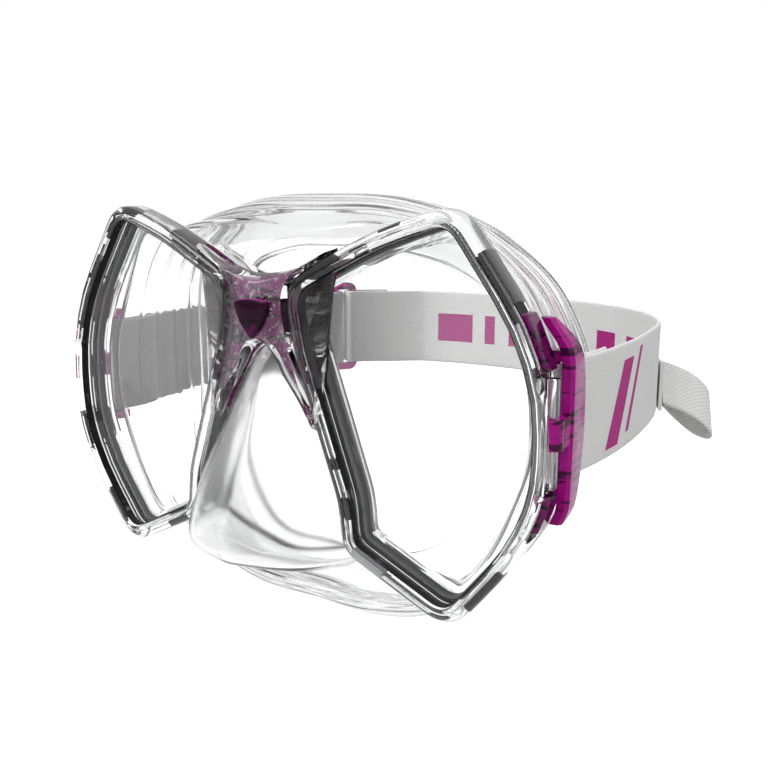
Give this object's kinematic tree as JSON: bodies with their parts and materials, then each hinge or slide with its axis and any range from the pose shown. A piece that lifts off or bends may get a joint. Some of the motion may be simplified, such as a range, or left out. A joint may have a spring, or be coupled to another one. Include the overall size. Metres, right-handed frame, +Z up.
{
  "type": "diving mask",
  "caption": "Twin-lens diving mask with a clear frame, a soft clear skirt with a nose pocket, swivelling strap brackets and a woven head strap.",
  "frame": {"origin": "centre of the flat front face of the badge on the bridge, in the mask's symmetry plane", "axes": "+X to the viewer's right when the lenses are faced, -Y out of the lenses (away from the wearer), +Z up"},
  "size_m": [0.1744, 0.1734, 0.1212],
  "materials": {
    "clear_frame": "polished clear polycarbonate",
    "glass": "polished tempered glass",
    "silicone": "clear satin silicone",
    "magenta": "gloss translucent magenta plastic",
    "badge": "deep gloss, domed",
    "webbing": "light grey woven elastic"
  },
  "bodies": {
    "root": {"frame_bridge": "clear_frame", "bridge_insert": "magenta", "bridge_badge": "badge", "skirt_web": "silicone", "skirt_wall": "silicone", "face_seal": "silicone", "inner_seal": "silicone", "nose_pocket": "silicone", "strap_main": "webbing", "strap_tail": "webbing", "strap_ring": "magenta", "pull_tab": "webbing", "tab_patch": "webbing", "frame_rim_right": "clear_frame", "lens_right": "glass", "lens_retainer_right": "clear_frame", "lens_seat_right": "silicone", "pivot_bar_right": "clear_frame", "clip_upper_right": "magenta", "clip_lower_right": "magenta", "strap_hem_right": "webbing", "frame_rim_left": "clear_frame", "lens_left": "glass", "lens_retainer_left": "clear_frame", "lens_seat_left": "silicone", "pivot_bar_left": "clear_frame", "clip_upper_left": "magenta", "clip_lower_left": "magenta", "strap_hem_left": "webbing"},
    "bracket_right": {"bracket_right": "magenta", "strap_rod_right": "magenta", "strap_end_right": "webbing"},
    "bracket_left": {"bracket_left": "magenta", "strap_rod_left": "magenta", "strap_end_left": "webbing"}
  },
  "joints": [
    {"name": "bracket_right_swing", "type": "hinge", "parent": "root", "child": "bracket_right", "pos_m": [0.08048, 0.01282, -0.023], "axis": [0, 0, -1], "range_deg": [0, 25]},
    {"name": "bracket_left_swing", "type": "hinge", "parent": "root", "child": "bracket_left", "pos_m": [-0.08048, 0.01282, -0.023], "axis": [0, 0, 1], "range_deg": [0, 25]}
  ]
}
